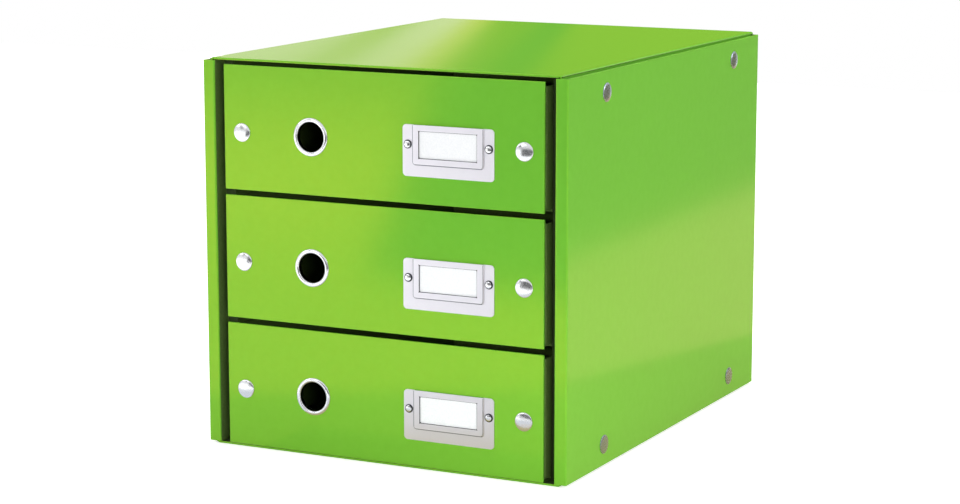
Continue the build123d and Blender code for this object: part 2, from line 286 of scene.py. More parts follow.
# %% Barrel-plated nickel
nickel, tree, shader, place = new_material("barrel_plated_nickel", Metallic=1.0, Roughness=0.2)
shader.inputs["Base Color"].default_value = colour("#DCDDE0")
haze = add(tree, "ShaderNodeTexNoise", {"Scale": per_metre(1.5), "Detail": 4}, {"Vector": place})
haze_range = add(
    tree,
    "ShaderNodeMapRange",
    {"From Min": 0.3, "From Max": 0.7, "To Min": 0.12, "To Max": 0.26},
    {"Value": haze.outputs["Fac"]},
)
tree.links.new(haze_range.outputs["Result"], shader.inputs["Roughness"])
tumbling = add(
    tree,
    "ShaderNodeBump",
    {"Strength": 0.05, "Distance": 0.02 * mm},
    {"Height": haze.outputs["Fac"]},
)
tree.links.new(tumbling.outputs["Normal"], shader.inputs["Normal"])
print(nickel.name, len(tree.nodes), "nodes")

# %% [markdown]
# The label holders are plated the same way, but a flat stamping comes out of the barrel duller
# than a small round stud, since the pieces lie flat on each other and rub. Three copies paint
# shade: a grey one paints the shade in the holder's folds, a dark one the shade at the cut edge of
# its window and round the rims of its rivets, and a greyer, bluer one the shade on the caps in the
# cabinet's sides. Each is a copy of the nickel with its own haze and shade, so that all share
# its grain.

# %% Nickel copies, three of them with painted shade
def nickel_variant(name, low_haze, high_haze, hex_code):
    variant = nickel.copy()
    variant.name = name
    haze_span = next(n for n in variant.node_tree.nodes if n.bl_idname == "ShaderNodeMapRange")
    haze_span.inputs["To Min"].default_value = low_haze
    haze_span.inputs["To Max"].default_value = high_haze
    variant.node_tree.nodes["Principled BSDF"].inputs["Base Color"].default_value = colour(hex_code)
    print(name, hex_code, "haze", low_haze, "to", high_haze)
    return variant


satin_nickel = nickel_variant("satin_nickel_of_flat_stampings", 0.42, 0.52, "#E4E2E9")
# Painted shade: this grey nickel stands in for the shade in the holder's folds.
shaded_fold_nickel = nickel_variant("nickel_painted_with_fold_shade", 0.5, 0.6, "#8C8D96")
# Painted shade: this dark nickel stands in for the shade at the window's cut edge and the rivets'
# rims.
shaded_edge_nickel = nickel_variant("nickel_painted_with_edge_shade", 0.5, 0.6, "#3E3F47")
# Painted shade: this greyer, bluer nickel stands in for the shade on the caps in the cabinet's
# sides.
shaded_side_nickel = nickel_variant("nickel_painted_with_side_shade", 0.2, 0.32, "#B0BAC8")

# %% [markdown]
# ## White card
# The label is plain uncoated card: bright, matte, with a fine tooth. Real tooth is too fine to
# show, so it is drawn 0.8 mm wide; without it a white card looks like a hole in the picture.

# %% Uncoated white card
card, tree, shader, place = new_material("uncoated_white_card", Roughness=0.7)
tooth = add(tree, "ShaderNodeTexNoise", {"Scale": per_metre(0.8), "Detail": 4}, {"Vector": place})
paper = add(tree, "ShaderNodeValToRGB", links={"Fac": tooth.outputs["Fac"]})
paper.color_ramp.elements[0].position, paper.color_ramp.elements[0].color = 0.3, colour("#F0F2F5")
paper.color_ramp.elements[1].position, paper.color_ramp.elements[1].color = 0.7, colour("#FAFBFD")
tree.links.new(paper.outputs["Color"], shader.inputs["Base Color"])
tooth_bump = add(
    tree,
    "ShaderNodeBump",
    {"Strength": 0.15, "Distance": 0.03 * mm},
    {"Height": tooth.outputs["Fac"]},
)
tree.links.new(tooth_bump.outputs["Normal"], shader.inputs["Normal"])
print(card.name, len(tree.nodes), "nodes")

# %% [markdown]
# ## Solids that stay
# A tray or a liner is cut and folded board with sharp cut edges, which is just what its solid
# is. Remodelling it would add nothing that the eye sees, so trays, liners and label cards keep
# their solids and only get their materials.

# %% Materials on the solids
by_slot = {
    "laminated_board": film,
    "dark_board": dyed_board,
    "nickel_plated_steel": nickel,
    "white_card": card,
}
for row in frame["record"]["subparts"]:
    node = frame["nodes"][row["node"]]
    node.data.materials.clear()
    node.data.materials.append(by_slot[row["material_slot"]])

# %% [markdown]
# ## Turned pieces
# A press stud, an eyelet and a rivet are all round. They could be stacked from cylinders, but a
# pressed piece flows from one radius to the next. So each is drawn as half of its outline and
# spun about its axis, as on a lathe: a single point is pulled along the outline, step by step,
# then the line is spun. Every stud is modelled once and copied to its places.

# %% Spinning an outline
def turned(outline, steps=56):
    """Spins an outline of (radius, height) points, in millimetres, about the Z axis."""
    bpy.ops.mesh.primitive_plane_add(size=mm)
    piece = bpy.context.active_object
    edit(piece)
    bpy.ops.mesh.merge(type="CENTER")
    bpy.ops.transform.translate(value=(outline[0][0] * mm, 0, outline[0][1] * mm))
    for (radius, height), (next_radius, next_height) in zip(outline, outline[1:]):
        step = ((next_radius - radius) * mm, 0, (next_height - height) * mm)
        bpy.ops.mesh.extrude_vertices_move(TRANSFORM_OT_translate={"value": step})
    bpy.ops.mesh.select_all(action="SELECT")
    bpy.ops.mesh.spin(steps=steps, angle=2 * pi, center=(0, 0, 0), axis=(0, 0, 1))
    bpy.ops.mesh.select_all(action="SELECT")
    bpy.ops.mesh.remove_doubles(threshold=0.002 * mm)
    bpy.ops.mesh.normals_make_consistent(inside=False)
    done()
    return piece


def copied(model, places):
    """One piece made of copies of the model, each moved and turned to its place."""
    copies = []
    for spot, turn in places:
        copy = model.copy()
        copy.data = model.data.copy()
        bpy.context.scene.collection.objects.link(copy)
        copy.location = spot
        copy.rotation_euler = turn
        copies.append(copy)
    piece = only(*copies)
    bpy.ops.object.transform_apply(location=True, rotation=True, scale=True)
    if len(copies) > 1:
        bpy.ops.object.join()
    return piece


facing_front = (pi / 2, 0, 0)


def front_places(xs, level):
    """Places on the face of one drawer's front, at the height of its fasteners."""
    return [((x * mm, front_y, fastener_line + level * level_step), facing_front) for x in xs]


def plated(model, name, body, node, places):
    """Copies a nickel-plated piece to its places."""
    piece = copied(model, places)
    if not piece.data.materials:
        piece.data.materials.append(nickel)
    finish(piece, name, body, "nickel_plated_steel", node)


# %% [markdown]
# ## Press studs
# A press stud has four parts. The cap is a shallow dome whose edge is rolled under, with a
# barrel through the board. Behind the board a spring ring is riveted to the barrel, and a post
# on the second board snaps into it. Only the caps show while the cabinet is closed; the rest
# can be seen from above in a drawer that is pulled out.

# %% Outlines of a cap, a ring and a post
def cap_outline(grip):
    """The cap stands on the board's face; grip is the board's thickness."""
    barrel_end = -grip - 1.0
    return [
        (0, barrel_end), (3.1, barrel_end), (3.1, 0), (6.35, 0), (6.6, 0.06), (6.7, 0.22),
        (6.68, 0.4), (6.55, 0.58), (6.3, 0.74), (5.9, 0.88), (5.2, 1.04), (4.3, 1.2), (3.3, 1.33),
        (2.2, 1.43), (1.1, 1.485), (0, 1.5),
    ]  # fmt: skip


def ring_outline(grip):
    return [
        (3.2, -grip), (5.4, -grip), (5.4, -grip - 0.6), (5.1, -grip - 0.9), (4.6, -grip - 1.1),
        (4.6, -grip - 3.0), (4.45, -grip - 3.5), (4.1, -grip - 3.7), (3.2, -grip - 3.7),
        (3.2, -grip),
    ]  # fmt: skip


def post_outline(grip, flap):
    foot = -grip - 3.8 - flap
    knob = foot + flap
    return [
        (0, foot - 0.45), (4.5, foot - 0.45), (4.75, foot - 0.3), (4.8, foot), (3.1, foot),
        (3.1, knob + 0.2), (2.75, knob + 0.6), (2.75, knob + 1.1), (3.05, knob + 1.4),
        (3.05, knob + 1.8), (2.6, knob + 2.2), (0, knob + 2.2),
    ]  # fmt: skip


# %% [markdown]
# The studs in the cabinet's sides and those in the fronts grip boards of different thickness, so
# there are two models of each part. Four studs a side stand near the corners, and two on every
# front near its ends.

# %% Studs on the sides and the fronts
front_grip, side_grip, tray_flap = 2.0, 1.7, 1.5
side_face, side_stud_ys, side_stud_zs, front_stud_x = 143, (-116, 124), (17, 265), 111.05
side_places = [
    ((side * side_face * mm, y * mm, z * mm), (0, side * pi / 2, 0))
    for side in (-1, 1)
    for y in side_stud_ys
    for z in side_stud_zs
]
side_parts = {
    "caps": turned(cap_outline(side_grip)),
    "sockets": turned(ring_outline(side_grip), steps=40),
    "posts": turned(post_outline(side_grip, side_grip), steps=40),
}
front_parts = {
    "caps": turned(cap_outline(front_grip)),
    "sockets": turned(ring_outline(front_grip), steps=40),
    "posts": turned(post_outline(front_grip, tray_flap), steps=40),
}
# Painted shade: the caps in the sides take the greyer, bluer nickel.
side_parts["caps"].data.materials.append(shaded_side_nickel)
for part, model in side_parts.items():
    plated(model, f"side_stud_{part}_pressed", "cabinet", f"side_stud_{part}", side_places)
for level, drawer in enumerate(drawers):
    for part, model in front_parts.items():
        places = front_places((-front_stud_x, front_stud_x), level)
        node = f"{drawer}_stud_{part}"
        plated(model, f"{node}_pressed", f"{drawer}_drawer", node, places)
models = [*side_parts.values(), *front_parts.values()]

# %% [markdown]
# ## Thumb rings
# The finger hole is lined with a large eyelet. Its flange is a quarter-round, its barrel goes
# through the front, and behind the front the barrel's end is rolled outwards over a flat
# washer. A torus would give the flange but no barrel, so the whole section is spun. Both outlines
# are closed, so the spin gives a ring with a hole through it.

# %% Eyelets and washers
hole_radius, thumb_hole_x = 11.3, -55.0
eyelet = turned(
    [
        (hole_radius, -2.6), (hole_radius, 0), (13.4, 0), (13.57, 0.08), (13.6, 0.25), (13.5, 0.45),
        (13.25, 0.66), (12.85, 0.84), (12.35, 0.96), (11.85, 1.0), (11.4, 0.95), (11.0, 0.8),
        (10.72, 0.55), (10.56, 0.2), (10.5, -0.3), (10.5, -3.0), (10.65, -3.2), (12.3, -3.2),
        (12.55, -3.05), (12.6, -2.85), (12.5, -2.65), (12.3, -2.6), (hole_radius, -2.6),
    ],
    steps=96,
)  # fmt: skip
washer_outline = [(11.35, -2.0), (14.6, -2.0), (14.6, -2.6), (11.35, -2.6), (11.35, -2.0)]
washer = turned(washer_outline, steps=96)
for level, drawer in enumerate(drawers):
    places = front_places((thumb_hole_x,), level)
    body, node = f"{drawer}_drawer", f"{drawer}_thumb_ring"
    plated(eyelet, f"{node}_rolled", body, node, places)
    plated(washer, f"{node}_washer_turned", body, f"{node}_washer", places)
models += [eyelet, washer]

# %% [markdown]
# ## Label holders
# The label holder is one stamping: a flat plate with rounded corners, and in it a pocket pushed
# forwards, open at the top so that a card drops in, with a window. Sheet metal is best modelled
# as a sheet: a flat plane is cut along the folds, the pocket's face is pushed out, the window is
# removed, and the sheet gets its thickness at the end.

# %% A flat plate cut along its folds
def cut_line(piece, point, normal, wanted=lambda middle, facing: True):
    """Cuts the picked faces of a sheet along a straight line."""
    pick_faces(piece, wanted)
    bpy.ops.mesh.bisect(plane_co=point, plane_no=normal)


plate_half, plate_top, plate_bottom, plate_corner = 35.1 * mm, 13.7 * mm, -22.2 * mm, 2.8 * mm
pocket_half, pocket_bottom, pocket_rise = 27.4 * mm, -14.3 * mm, 1.0 * mm
window_half, window_up = 22.1 * mm, 9.25 * mm
rim = plate_top - window_up
plate_middle = (0, 0, (plate_top + plate_bottom) / 2)
bpy.ops.mesh.primitive_plane_add(size=1, location=plate_middle, rotation=facing_front)
holder = bpy.context.active_object
holder.scale = (2 * plate_half, plate_top - plate_bottom, 1)
bpy.ops.object.transform_apply(location=True, rotation=True, scale=True)
edit(holder)
bpy.ops.mesh.bevel(offset=plate_corner, segments=8, affect="VERTICES")
for x in (-pocket_half, pocket_half):
    cut_line(holder, (x, 0, 0), (1, 0, 0))
cut_line(
    holder, (0, 0, pocket_bottom), (0, 0, 1), lambda middle, facing: abs(middle.x) < pocket_half
)
print("plate cut into", len(bmesh.from_edit_mesh(holder.data).faces), "faces")

# %% [markdown]
# The press pushes the pocket forwards by the thickness of a card and a little more. Its face is
# inset by the width of the rim, and the inner part, which is the window, is brought to its exact
# size and deleted. The small face that closes the pocket's top goes too: there the card drops in.

# %% Pushing out the pocket
pick_faces(
    holder, lambda middle, facing: abs(middle.x) < pocket_half and middle.z > pocket_bottom
)
bpy.ops.mesh.extrude_region_move(TRANSFORM_OT_translate={"value": (0, -pocket_rise, 0)})
pick_faces(
    holder, lambda middle, facing: middle.y < -0.9 * pocket_rise and abs(facing.y) > 0.99
)
bpy.ops.mesh.inset(thickness=rim)
inset_half, inset_height = pocket_half - rim, plate_top - pocket_bottom - 2 * rim
bpy.ops.transform.resize(
    value=(window_half / inset_half, 1, 2 * window_up / inset_height),
    center_override=(0, -pocket_rise, window_up),
)
bpy.ops.mesh.delete(type="FACE")
pick_faces(holder, lambda middle, facing: abs(facing.z) > 0.9 and middle.z > window_up)
bpy.ops.mesh.delete(type="FACE")
print("window", round(2 * window_half / mm, 1), "by", round(2 * window_up / mm, 1), "mm")

# %% [markdown]
# Sheet metal can't be pressed to a sharp corner. The pocket's two lower corners are rounded
# first, and then the fold that runs round its face. The edges to round are picked by where they
# lie: on the pocket's face and at its sides, at its bottom or in one of its round corners.

# %% Rounding the pocket
near, exact = 0.1 * mm, 0.01 * mm
pocket_corner, corner_band, fold = 2.5 * mm, 0.2 * mm, 0.65 * mm
corner_middle = Vector((pocket_half - pocket_corner, 0, pocket_bottom + pocket_corner))


def on_pocket_fold(middle, along):
    at_side = abs(middle.x) > pocket_half - near
    at_bottom = middle.z < pocket_bottom + near
    beyond_corner = abs(middle.x) > corner_middle.x and middle.z < corner_middle.z
    from_corner = (Vector((abs(middle.x), 0, middle.z)) - corner_middle).length
    in_corner = beyond_corner and from_corner > pocket_corner - corner_band
    return abs(middle.y + pocket_rise) < exact and (at_side or at_bottom or in_corner)


pick_edges(
    holder,
    lambda middle, along: abs(along.y) > 0.9 and middle.z < 0 and abs(middle.y) > near,
)
bpy.ops.mesh.bevel(offset=pocket_corner, segments=6, affect="EDGES")
pick_edges(holder, on_pocket_fold)
bpy.ops.mesh.bevel(offset=fold, segments=3, affect="EDGES")
done()
print("label holder sheet:", len(holder.data.polygons), "faces")

# %% [markdown]
# The sheet is thickened inwards, then its cut edges and folds are softened with a narrow bevel,
# because a press never leaves a knife edge and it is the rounded edge that catches the light.
# The window's corners and its edge are rounded more, as in the photograph.

# %% Thickness and soft edges
metal, soft_edge, window_corner, window_edge = 0.6 * mm, 0.28 * mm, 1.0 * mm, 0.5 * mm
add_modifier(holder, "SOLIDIFY", thickness=metal, offset=-1, use_even_offset=True)
edit(holder)
pick_edges(
    holder,
    lambda middle, along: abs(along.y) > 0.9
    and abs(abs(middle.x) - window_half) < exact
    and abs(abs(middle.z) - window_up) < exact,
)
bpy.ops.mesh.bevel(offset=window_corner, segments=5, affect="EDGES")
pick_edges(
    holder,
    lambda middle, along: abs(middle.y + pocket_rise) < exact
    and abs(middle.x) < window_half + exact
    and abs(middle.z) < window_up + exact,
)
bpy.ops.mesh.bevel(offset=window_edge, segments=3, affect="EDGES")
done()
add_modifier(
    holder,
    "BEVEL",
    width=soft_edge,
    segments=2,
    limit_method="ANGLE",
    angle_limit=radians(50),
)
print("label holder:", len(holder.data.polygons), "faces")

# %% [markdown]
# One piece can carry several materials, each face naming the one that it uses. The plate and the
# pocket's face are satin. The folds that slope away from them and from the light are painted grey
# as shade, and the window's edge is painted dark as shade. A fold that faces right meets the light
# there and stays as bright as the plate.

# %% Plating the faces, with painted shade
for plating in (satin_nickel, shaded_fold_nickel, shaded_edge_nickel):
    holder.data.materials.append(plating)
# Painted shade: window faces take the dark nickel, and folds turned from the light the grey one.
for face in holder.data.polygons:
    x, z = abs(face.center.x), face.center.z
    in_window = x < window_half + window_edge and abs(z) < window_up + window_edge
    within_pocket = x < pocket_half + fold and pocket_bottom - fold < z < plate_top - fold
    slopes_from_light = abs(face.normal.y) < 0.98 and face.normal.x < 0.5
    face.material_index = 2 if in_window else int(within_pocket and slopes_from_light)
plate_x = 53.5
edit(holder)
bpy.ops.transform.translate(value=(plate_x * mm, front_y - metal, fastener_line))
done()
used = [face.material_index for face in holder.data.polygons]
print("plate, fold and window faces:", [used.count(index) for index in range(3)])

# %% [markdown]
# A small domed rivet on each side of the pocket holds the plate. Its head is turned like a stud,
# and its rim is painted dark as shade. With the rivets the label holder is complete, and both are
# copied to the three drawers.

# %% Rivets, and one label holder for each drawer
rivet_reach, rivet_rim = 31.1, 2.5 * mm
rivet = turned(
    [
        (0, -2.5), (2.35, -2.5), (2.6, -2.3), (2.6, -2.0), (1.5, -2.0), (1.5, 0.6), (2.95, 0.6),
        (3.08, 0.68), (3.1, 0.82), (3.0, 1.03), (2.75, 1.24), (2.35, 1.42), (1.8, 1.56),
        (1.1, 1.66), (0.5, 1.695), (0, 1.7),
    ],
    steps=40,
)  # fmt: skip
rivet.data.materials.append(nickel)
rivet.data.materials.append(shaded_edge_nickel)
# Painted shade: faces beyond the rim's radius take the dark nickel.
for face in rivet.data.polygons:
    face.material_index = int(face.center.xy.length > rivet_rim)
for level, drawer in enumerate(drawers):
    rise = [((0, 0, level * level_step), (0, 0, 0))]
    body = f"{drawer}_drawer"
    plated(holder, f"{drawer}_label_holder_stamped", body, f"{drawer}_label_holder", rise)
    places = front_places((plate_x - rivet_reach, plate_x + rivet_reach), level)
    plated(rivet, f"{drawer}_label_rivets_domed", body, f"{drawer}_label_rivets", places)
models += [holder, rivet]

# %% [markdown]
# ## Drawer fronts
# Each front is a stiff board with the film turned over its edges, so its edges are round, not
# cut. The finger hole is punched through it, and a turned punch does it here too: a Boolean cuts
# a cleaner circle than faces drawn round a hole by hand. Its back is lined with the dark board,
# which stops short of the edge and leaves a border of turned-in film.

# %% A front, its hole and its lining
def block(low, high):
    """A block between two corners, with its place in its mesh."""
    low, high = Vector(low), Vector(high)
    bpy.ops.mesh.primitive_cube_add(size=1, location=(low + high) / 2)
    piece = bpy.context.active_object
    piece.scale = high - low
    bpy.ops.object.transform_apply(location=True, rotation=True, scale=True)
    return piece


film_edge, lining_border, lining_half, punch_half = 0.45 * mm, 11 * mm, 32 * mm, 8
low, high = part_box("lower_front_panel")
panel = block(low, high)
edit(panel)
bpy.ops.mesh.bevel(offset=film_edge, segments=4, affect="EDGES")
pick_faces(panel, lambda middle, facing: facing.y > 0.99)
bpy.ops.mesh.inset(thickness=lining_border)
done()
punch_outline = [
    (0, -punch_half), (hole_radius, -punch_half), (hole_radius, punch_half), (0, punch_half),
]  # fmt: skip
punch = turned(punch_outline, steps=96)
punch_at = only(copied(punch, front_places((thumb_hole_x,), 0)))
add_modifier(panel, "BOOLEAN", object=punch_at, operation="DIFFERENCE", solver="EXACT")
panel.data.materials.clear()
panel.data.materials.append(film)
panel.data.materials.append(dyed_board)
for face in panel.data.polygons:
    in_lining = abs(face.center.z - fastener_line) < lining_half
    face.material_index = int(face.normal.y > 0.99 and in_lining)
for level, drawer in enumerate(drawers):
    front = copied(panel, [((0, 0, level * level_step), (0, 0, 0))])
    node = f"{drawer}_front_panel"
    finish(front, f"{drawer}_front_wrapped", f"{drawer}_drawer", "laminated_board", node)
models += [panel, punch, punch_at]

# %% [markdown]
# ## Sheet that wraps the cabinet
# Top, back and bottom are one sheet, folded twice. A box with its front taken off would have the
# same outside, but not the flanges and the open front edges. So it is modelled the way it is
# folded: a flat plane for the top, its back edge pulled down for the back, and that edge pulled
# forwards for the bottom.

# %% Folding the sheet
low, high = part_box("wrap_panel")
top_middle = ((low.x + high.x) / 2, (low.y + high.y) / 2, high.z)
bpy.ops.mesh.primitive_plane_add(size=1, location=top_middle)
wrap = bpy.context.active_object
wrap.scale = (high.x - low.x, high.y - low.y, 1)
bpy.ops.object.transform_apply(location=True, rotation=True, scale=True)
edit(wrap)
pick_edges(wrap, lambda middle, along: middle.y > high.y - mm)
bpy.ops.mesh.extrude_edges_move(TRANSFORM_OT_translate={"value": (0, 0, low.z - high.z)})
pick_edges(wrap, lambda middle, along: middle.z < low.z + mm)
bpy.ops.mesh.extrude_edges_move(TRANSFORM_OT_translate={"value": (0, low.y - high.y, 0)})
print("the sheet has", len(bmesh.from_edit_mesh(wrap.data).faces), "panels")

# %% [markdown]
# The top and the bottom have a flange along each side edge, which tucks into the hollow side.
# The flange stops a little short of the side's back wall, so the sheet is cut across there and
# only the edges in front of the cut are folded in. The sheet then gets its thickness and its
# dark inner face in one step.

# %% Folding in the flanges
board, flange_depth, flange_play = 1.7 * mm, 34 * mm, 1.0 * mm
flange_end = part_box("right_side")[1].y - board - flange_play
cut_line(wrap, (0, flange_end, 0), (0, 1, 0))
for z, drop in ((high.z, -flange_depth), (low.z, flange_depth)):
    for side in (-1, 1):
        pick_edges(
            wrap,
            lambda middle, along: abs(middle.x - side * high.x) < mm
            and abs(middle.z - z) < mm
            and middle.y < flange_end - mm,
        )
        bpy.ops.mesh.extrude_edges_move(TRANSFORM_OT_translate={"value": (0, 0, drop)})
bpy.ops.mesh.select_all(action="SELECT")
bpy.ops.mesh.normals_make_consistent(inside=False)
done()
top_face = max(wrap.data.polygons, key=lambda face: face.center.z)
if top_face.normal.z < 0:
    wrap.data.flip_normals()
wrap.data.materials.append(film)
wrap.data.materials.append(dyed_board)
thick_board = {"thickness": board, "offset": -1, "use_even_offset": True, "material_offset": 1}
add_modifier(wrap, "SOLIDIFY", **thick_board)
print("sheet with flanges:", len(wrap.data.polygons), "faces")

# %% [markdown]
# Board breaks along a scored fold and the outside of the fold is round, about as round as
# the board is thick. The front edges are softened less: there the film is only turned over.

# %% Rounding the folds
def round_edges(piece, radius, segments, wanted):
    edit(piece)
    pick_edges(piece, wanted)
    bpy.ops.mesh.bevel(offset=radius, segments=segments, affect="EDGES")
    done()


def at_fold(middle, along):
    outermost = abs(middle.z - high.z) < near or abs(middle.z - low.z) < near
    at_back = abs(along.x) > 0.9 and middle.y > high.y - near
    at_side = abs(along.y) > 0.9 and abs(middle.x) > high.x - near
    return outermost and (at_back or at_side)


def at_front(middle, along):
    return abs(along.x) > 0.9 and middle.y < low.y + near


crease_radius, front_radius = 1.6 * mm, 0.4 * mm
round_edges(wrap, crease_radius, 6, at_fold)
round_edges(wrap, front_radius, 3, at_front)
finish(wrap, "wrap_panel_folded", "cabinet", "laminated_board", "wrap_panel")

# %% [markdown]
# ## Hollow sides
# Each side is a flat sleeve: four folds and a hollow in which the flanges are tucked. It could be
# folded up from a plane as the sheet was, but all four folds are alike, and a block with its ends
# taken off gives them at once. The face that looks at the drawers gets the dark board, which paints
# the deep shade in the narrow gaps beside the drawers, so only the front edge and the outside are
# green.

# %% Folding a side
def at_sleeve_fold(middle, along):
    at_side = min(middle.x - low.x, high.x - middle.x) < near
    at_end = min(middle.y - low.y, high.y - middle.y) < near
    return abs(along.z) > 0.9 and at_side and at_end


sleeve_radius = 1.2 * mm
for side, node in ((-1, "left_side"), (1, "right_side")):
    low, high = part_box(node)
    sleeve = block(low, high)
    edit(sleeve)
    pick_faces(sleeve, lambda middle, facing: abs(facing.z) > 0.9)
    bpy.ops.mesh.delete(type="FACE")
    done()
    sleeve.data.materials.append(film)
    sleeve.data.materials.append(dyed_board)
    add_modifier(sleeve, "SOLIDIFY", **thick_board)
    round_edges(sleeve, sleeve_radius, 5, at_sleeve_fold)
    towards_drawers = high.x if side < 0 else low.x
    # Painted shade: the face towards the drawers takes the dark board.
    for face in sleeve.data.polygons:
        if abs(face.normal.x) > 0.99 and abs(face.center.x - towards_drawers) < near:
            face.material_index = 1
    finish(sleeve, f"{node}_folded", "cabinet", "laminated_board", node)
for model in models:
    bpy.data.objects.remove(model)
print(len(models), "models were copied to their places and are gone")

# %% [markdown]
# ## Floor and background
# The cabinet stands on plain white. The floor is ordinary white paint that takes the cabinet's
# shadow, and it glows a little where it is seen straight, in a reflection or through glass, so
# that it looks as white as the background without throwing more light on the cabinet.

# %% White floor
def seen_directly(tree):
    """1 for what the camera sees straight, in a mirror or through glass, and 0 for lighting."""
    rays = add(tree, "ShaderNodeLightPath")
    straight_or_mirrored = add(
        tree,
        "ShaderNodeMath",
        links={0: rays.outputs["Is Camera Ray"], 1: rays.outputs["Is Glossy Ray"]},
        operation="MAXIMUM",
    )
    return add(
        tree,
        "ShaderNodeMath",
        links={0: straight_or_mirrored.outputs[0], 1: rays.outputs["Is Transmission Ray"]},
        operation="MAXIMUM",
    ).outputs[0]


floor_size, floor_glow = 4.4, 0.6
bpy.ops.mesh.primitive_plane_add(size=floor_size)
floor = bpy.context.active_object
floor.name = "floor"
white_paint, tree, shader, place = new_material("white_painted_floor", Roughness=0.9)
shader.inputs["Base Color"].default_value = colour("#F4F4F4")
shader.inputs["Specular IOR Level"].default_value = 0.1
glow = add(
    tree, "ShaderNodeMath", {1: floor_glow}, {0: seen_directly(tree)}, operation="MULTIPLY"
)
glow_light = add(tree, "ShaderNodeEmission", links={"Strength": glow.outputs[0]})
both = add(tree, "ShaderNodeAddShader", links={0: shader.outputs[0], 1: glow_light.outputs[0]})
tree.links.new(both.outputs[0], tree.nodes["Material Output"].inputs["Surface"])
floor.data.materials.append(white_paint)
print("floor", floor_size, "m wide, glow", floor_glow)

# %% [markdown]
# The room is plain white all round. The camera and the reflections see it at full strength,
# which is pure white, but it lights the cabinet with only a third of that: light from all sides
# flattens a shape, and the lamps have to give most of the light.

# %% Room light
room_light = 0.34
world = bpy.data.worlds.new("white_studio")
bpy.context.scene.world = world
world.use_nodes = True
tree = world.node_tree
room = tree.nodes["Background"]
room_strength = add(
    tree,
    "ShaderNodeMapRange",
    {"To Min": room_light, "To Max": 1.0},
    {"Value": seen_directly(tree)},
)
tree.links.new(room_strength.outputs["Result"], room.inputs["Strength"])
room.inputs["Color"].default_value = colour("#FFFFFF")
print("the room lights with", room_light, "and is seen at 1.0")

# %% [markdown]
# ## Lamps
# Small product pictures are lit with softboxes, large glowing rectangles. A sun or a point lamp
# is quicker to place, but it gives hard shadows and pinpricks of light in the film. One helper
# hangs a softbox at its place, aims it, and hides it from the camera.

# %% A softbox
def softbox(name, spot, aim, width, height, watts, mirrored=True):
    """A rectangular lamp, in metres and watts. mirrored says whether reflections see it."""
    lamp = bpy.data.lights.new(name, "AREA")
    lamp.shape = "RECTANGLE"
    lamp.size, lamp.size_y, lamp.energy = width, height, watts
    stand = bpy.data.objects.new(name, lamp)
    bpy.context.scene.collection.objects.link(stand)
    stand.location = spot
    stand.rotation_euler = (Vector(aim) - Vector(spot)).to_track_quat("-Z", "Y").to_euler()
    stand.visible_camera = False
    stand.visible_glossy = mirrored
    print(name, watts, "W")
    return stand


# %% [markdown]
# The key lamp stands in front on the left, and a larger lamp on the right lights the side. One
# hangs over the floor on the left in front of the cabinet: the drawer fronts mirror that bright
# patch of floor. The film mirrors these three. The others only give light: one overhead for the
# top, one behind for the left side and the back, and a small one that lifts the low right corner.

# %% Lamps round the cabinet
cabinet_middle = (0, 0, 0.14)
softbox("key_softbox", (-1.5, -1.7, 1.5), cabinet_middle, 0.8, 0.8, 2.2)
softbox("side_softbox", (2.2, 0.3, 1.1), cabinet_middle, 1.4, 1.4, 25.2)
softbox("floor_softbox", (-0.95, -1.4, 0.55), (-0.95, -1.4, 0), 1.0, 1.0, 8.5)
softbox("top_softbox", (-0.1, 0.1, 1.6), (0, 0, 0.28), 0.8, 0.8, 13.8, mirrored=False)
softbox("back_softbox", (-1.6, 2.2, 1.0), cabinet_middle, 1.4, 1.4, 25, mirrored=False)
low_corner = (0.13, -0.12, 0.0)
corner_softbox = softbox(
    "corner_softbox", (0.5, -0.55, 0.05), low_corner, 0.3, 0.08, 0.08, mirrored=False
)
corner_softbox.data.spread = radians(60)

# %% [markdown]
# The gaps between the drawer fronts are four millimetres high, and hardly any light from above
# gets through them to the dyed board behind. Two flat strips hang at about the camera's height,
# so that their light goes straight through the gaps and the board in them shows dark green.

# %% Strips at eye level
strip_y, strip_z, strip_height = -1.72, 0.465, 0.02
gap_middle = (0, -0.18, 0.14)
for name, x, width, watts in (("middle_strip", 0.0, 0.6, 3.4), ("right_strip", 1.2, 0.45, 6.9)):
    softbox(name, (x, strip_y, strip_z), gap_middle, width, strip_height, watts, mirrored=False)

# %% [markdown]
# ## Panels round the cabinet
# Glossy film takes most of its character from what it mirrors. A picture of a studio could be
# wrapped round the scene, but its bright spots would fall where they may. So panels stand round
# the cabinet as in a product studio, each as bright as it should look in the film. They show only
# in reflections: they throw no light and no shadow, and the camera doesn't see them.

# %% A panel that only reflections see
def panel_at(name, hex_code, lower_left, lower_right, upper_left, upper_right):
    panel_paper = bpy.data.materials.new(f"{name}_paper")
    panel_paper.use_nodes = True
    tree = panel_paper.node_tree
    tree.nodes.remove(tree.nodes["Principled BSDF"])
    light = add(tree, "ShaderNodeEmission", {"Color": colour(hex_code)})
    tree.links.new(light.outputs[0], tree.nodes["Material Output"].inputs["Surface"])
    bpy.ops.mesh.primitive_plane_add()
    piece = bpy.context.active_object
    piece.name = name
    corners = (lower_left, lower_right, upper_left, upper_right)
    for vertex, corner in zip(piece.data.vertices, corners):
        vertex.co = corner
    piece.data.materials.append(panel_paper)
    piece.visible_camera = piece.visible_diffuse = piece.visible_shadow = False
    print(name, hex_code)


# %% [markdown]
# The top mirrors, from left to right, a pale panel with a green stripe, then a yellow one, then
# green ones. They share one upright plane behind the cabinet and their edges lean, so that the
# bands cross the top at a slant. A large olive one far behind them fills the view above.

